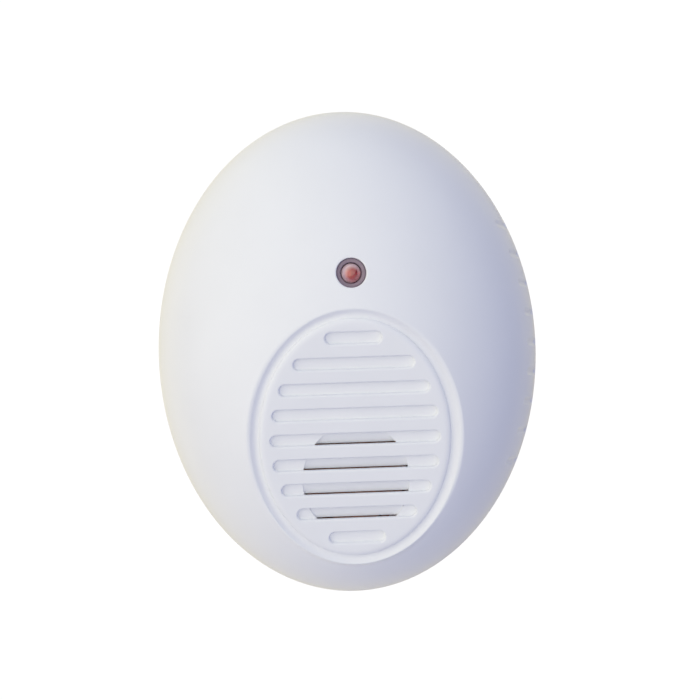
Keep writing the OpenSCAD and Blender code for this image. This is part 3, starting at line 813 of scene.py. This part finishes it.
def laminate(name, colour):
    """Phenolic board: short paper fibres in a brown resin."""
    shader = Shader(name)
    fibres = shader.noise(1.2 * MM, 6, 0.7, stretch=(1, 1, 3))
    shader.to("Base Color", shader.between(fibres, shade(colour, 0.75), shade(colour, 1.2)))
    shader.to("Roughness", shader.between(fibres, 0.45, 0.65))
    shader.bump(fibres, 0.02 * MM)
    return shader.material


def clear_red(name):
    """Tinted epoxy: clear red in the middle, with a painted pale pink reflection round its rim where it also
    lets less light through, widest on the upper left, and an uneven gloss from its mould.
    """
    shader = Shader(name)
    shader.set(IOR=1.53, Coat_Weight=1.0, Coat_Roughness=0.04, Coat_IOR=1.8)
    split = shader.nodes.new("ShaderNodeSeparateXYZ")
    shader.links.new(shader.place, split.inputs["Vector"])
    x, z = split.outputs["X"], split.outputs["Z"]
    # the red middle sits right of and below the lens's axis, so the painted reflection is widest on the upper
    # left
    core_x, core_z = 0.35 * MM, LAMP_LIFT - 0.4 * MM
    core, rim = 0.45, 0.9                # where the red ends and the painted pink reflection round the rim starts, as shares of LENS_R
    radius = shader.distance(x, z, core_x, core_z)
    # painted reflection: the base colour turns pale pink towards the rim
    red, painted_reflection_pink = (0.74, 0.1, 0.13), (0.92, 0.7, 0.74)
    shader.to("Base Color", shader.between(radius, red, painted_reflection_pink, (core, rim), LENS_R))
    shader.to("Transmission Weight", shader.between(radius, 0.5, 0.15, (core, rim), LENS_R))
    shader.to("Roughness", shader.between(shader.noise(1.5 * MM, 3), 0.04, 0.1))
    shader.bump(shader.noise(0.8 * MM, 2), 0.002 * MM)
    return shader.material


def windings(name, colour):
    """Enamelled wire laid in turns round the coil's axis."""
    shader = Shader(name)
    shader.set(Metallic=0.7)
    wave = shader.nodes.new("ShaderNodeTexWave")
    wave.bands_direction = "Y"
    wave.inputs["Scale"].default_value = 1 / (1.2 * MM)
    wave.inputs["Distortion"].default_value = 0.4
    shader.links.new(shader.place, wave.inputs["Vector"])
    # painted shade: the base colour darkens to 35% in the grooves between the turns, where the bump is low
    shader.to("Base Color", shader.between(wave.outputs["Fac"], shade(colour, 0.35), colour))
    shader.to("Roughness", shader.between(wave.outputs["Fac"], 0.5, 0.25))
    shader.bump(wave.outputs["Fac"], 0.1 * MM)
    return shader.material


def make_materials():
    """Every material, by the name of its slot."""
    along_pins = (1, 0.05, 1)
    return {
        "housing_plastic": plastic("housing_plastic", (0.92, 0.935, 0.97), 0.36, 0.28 * MM, 0.006 * MM,
                                   0.012),
        "screw_steel": metal("screw_steel", (0.58, 0.61, 0.68), 0.35),
        "pin_plating": metal("pin_plating", (0.72, 0.75, 0.84), 0.3, along_pins, 0.002 * MM),
        "sleeve_plastic": plastic("sleeve_plastic", (0.025, 0.025, 0.028), 0.42),
        "carrier_plastic": plastic("carrier_plastic", (0.25, 0.25, 0.26), 0.5),
        "live_insulation": plastic("live_insulation", (0.2, 0.07, 0.03), 0.4),
        "neutral_insulation": plastic("neutral_insulation", (0.05, 0.16, 0.5), 0.4),
        "board_laminate": laminate("board_laminate", (0.42, 0.27, 0.12)),
        "lamp_lens": clear_red("lamp_lens"),
        "tinned_wire": metal("tinned_wire", (0.72, 0.72, 0.72), 0.22),
        "black_plastic": plastic("black_plastic", (0.02, 0.02, 0.022), 0.45),
        # the bezel's dark purple-grey is painted shade with a painted red reflection, for the shaded gap
        # round the lens
        "bezel_plastic": plastic("bezel_plastic", (0.29, 0.225, 0.29), 0.35),
        "gasket_foam": plastic("gasket_foam", (0.5, 0.22, 0.16), 0.85, 0.5 * MM, 0.08 * MM, 0.1),
        "cone_foil": metal("cone_foil", (0.85, 0.46, 0.36), 0.6),
        "diaphragm_brass": metal("diaphragm_brass", (0.62, 0.42, 0.16), 0.3),
        "piezo_ceramic": plastic("piezo_ceramic", (0.82, 0.78, 0.68), 0.5),
        "clamp_plastic": plastic("clamp_plastic", (0.7, 0.7, 0.68), 0.45),
        "red_insulation": plastic("red_insulation", (0.6, 0.03, 0.03), 0.4),
        "black_insulation": plastic("black_insulation", (0.02, 0.02, 0.02), 0.4),
        "capacitor_case": plastic("capacitor_case", (0.75, 0.55, 0.08), 0.3),
        "capacitor_sleeve": plastic("capacitor_sleeve", (0.03, 0.04, 0.14), 0.25),
        "fuse_coating": plastic("fuse_coating", (0.12, 0.34, 0.2), 0.6, variation=0.12),
        "varistor_coating": plastic("varistor_coating", (0.06, 0.14, 0.45), 0.4, variation=0.1),
        "ferrite": plastic("ferrite", (0.08, 0.08, 0.085), 0.6, variation=0.15),
        "copper_winding": windings("copper_winding", (0.75, 0.3, 0.12)),
        "resistor_coating": plastic("resistor_coating", (0.6, 0.45, 0.28), 0.4, variation=0.08),
        "ceramic_coating": plastic("ceramic_coating", (0.45, 0.2, 0.06), 0.5, variation=0.12),
    }


MATERIALS = make_materials()

# Width of the rounded edges of the CAD nodes that are seen from outside, in mm.
ROUNDED = {"live_pin": 0.2, "neutral_pin": 0.2, "pin_sleeves": 0.2, "housing_screws": 0.15}


def dress_frame():
    """Every CAD node that stays gets its slot's material, and those seen from outside rounded edges."""
    for part in frame["record"]["subparts"]:
        node = frame["nodes"][part["node"]]
        node.data.materials.clear()
        node.data.materials.append(MATERIALS[part["material_slot"]])
        if part["node"] in ROUNDED:
            weld = node.modifiers.new("weld", "WELD")
            weld.merge_threshold = 0.001 * MM
            bevel = node.modifiers.new("rounding", "BEVEL")
            bevel.width = ROUNDED[part["node"]] * MM
            bevel.segments = 3
            bevel.angle_limit = math.radians(35)


# ---------------------------------------------------------------- studio

def soft_light(name, azimuth, elevation, energy, colour, distance, size=4.0):
    """A very large square light that faces the dome. Angles are in degrees, sizes in metres."""
    way = direction(math.radians(azimuth), math.radians(elevation))
    light = bpy.data.lights.new(name, "AREA")
    light.shape = "SQUARE"
    light.size = size
    light.energy = energy
    light.color = colour
    lamp_object = bpy.data.objects.new(name, light)
    lamp_object.location = Vector((0, SEAM - DOME / 2, 0)) + way * distance
    lamp_object.rotation_euler = way.to_track_quat("Z", "Y").to_euler()
    lamp_object.visible_camera = False
    bpy.context.scene.collection.objects.link(lamp_object)


def studio():
    """A pale room, two very large soft lights in front, a fill on the left and a light behind."""
    scene = bpy.context.scene
    scene.view_settings.view_transform = "Standard"
    near, behind = 0.75, 0.9             # the lights' distances
    room_r, floor, floor_bow = 3, -0.45, 0.1
    work = bmesh.new()
    bmesh.ops.create_uvsphere(work, u_segments=64, v_segments=32, radius=room_r)
    for v in work.verts:
        v.co.z = max(v.co.z, floor - floor_bow * max(0, floor - v.co.z))
    room = bpy.data.meshes.new("room")
    work.to_mesh(room)
    work.free()
    room.shade_smooth()
    paper = Shader("room_paper")
    paper.set(Roughness=0.9, Base_Color=(0.1, 0.1, 0.1, 1))
    paper.set(Emission_Strength=1.0, Emission_Color=(1, 1, 1, 1))
    room.materials.append(paper.material)
    sweep = bpy.data.objects.new("room", room)
    for ray in ("diffuse", "glossy", "transmission", "shadow"):
        setattr(sweep, "visible_" + ray, False)
    scene.collection.objects.link(sweep)

    world = bpy.data.worlds.new("studio")
    world.use_nodes = True
    world.node_tree.nodes["Background"].inputs["Color"].default_value = (0.0, 0.036, 0.285, 1)
    scene.world = world
    world.cycles_visibility.glossy = False
    soft_light("upper_key", -20, 35, 30.5, (1.0, 1.0, 0.80), near)
    soft_light("lower_key", -20, -35, 15.5, (1.0, 0.95, 0.78), near)
    soft_light("left_fill", -60, 0, 13.2, (1.0, 0.85, 0.29), near)
    soft_light("backlight", 180, 0, 45, (1.0, 0.91, 0.54), behind)


def direction(azimuth, elevation):
    """From the object towards a camera or light: azimuth 0 is straight in front, and 90 is on the right."""
    level = math.cos(elevation)
    return Vector((math.sin(azimuth) * level, -math.cos(azimuth) * level, math.sin(elevation)))


def camera():
    """A long lens, a little left of the front and almost level."""
    way = direction(math.radians(-2.6), math.radians(-1.0))
    roll = math.radians(1.9)
    distance = 0.47
    aim = Vector((0, SEAM - 14 * MM, 0))
    data = bpy.data.cameras.new("camera")
    data.lens = 97.5
    cam = bpy.data.objects.new("camera", data)
    cam.location = aim + way * distance
    facing = way.to_track_quat("Z", "Y").to_matrix()
    cam.rotation_euler = (facing @ Matrix.Rotation(-roll, 3, "Z")).to_euler()
    bpy.context.scene.collection.objects.link(cam)
    bpy.context.scene.camera = cam


camera()
studio()
dress_frame()
front_cover()
louvres()
lamp_lens()
lamp_bezel()
lamp_lead_frame()
rear_cover()
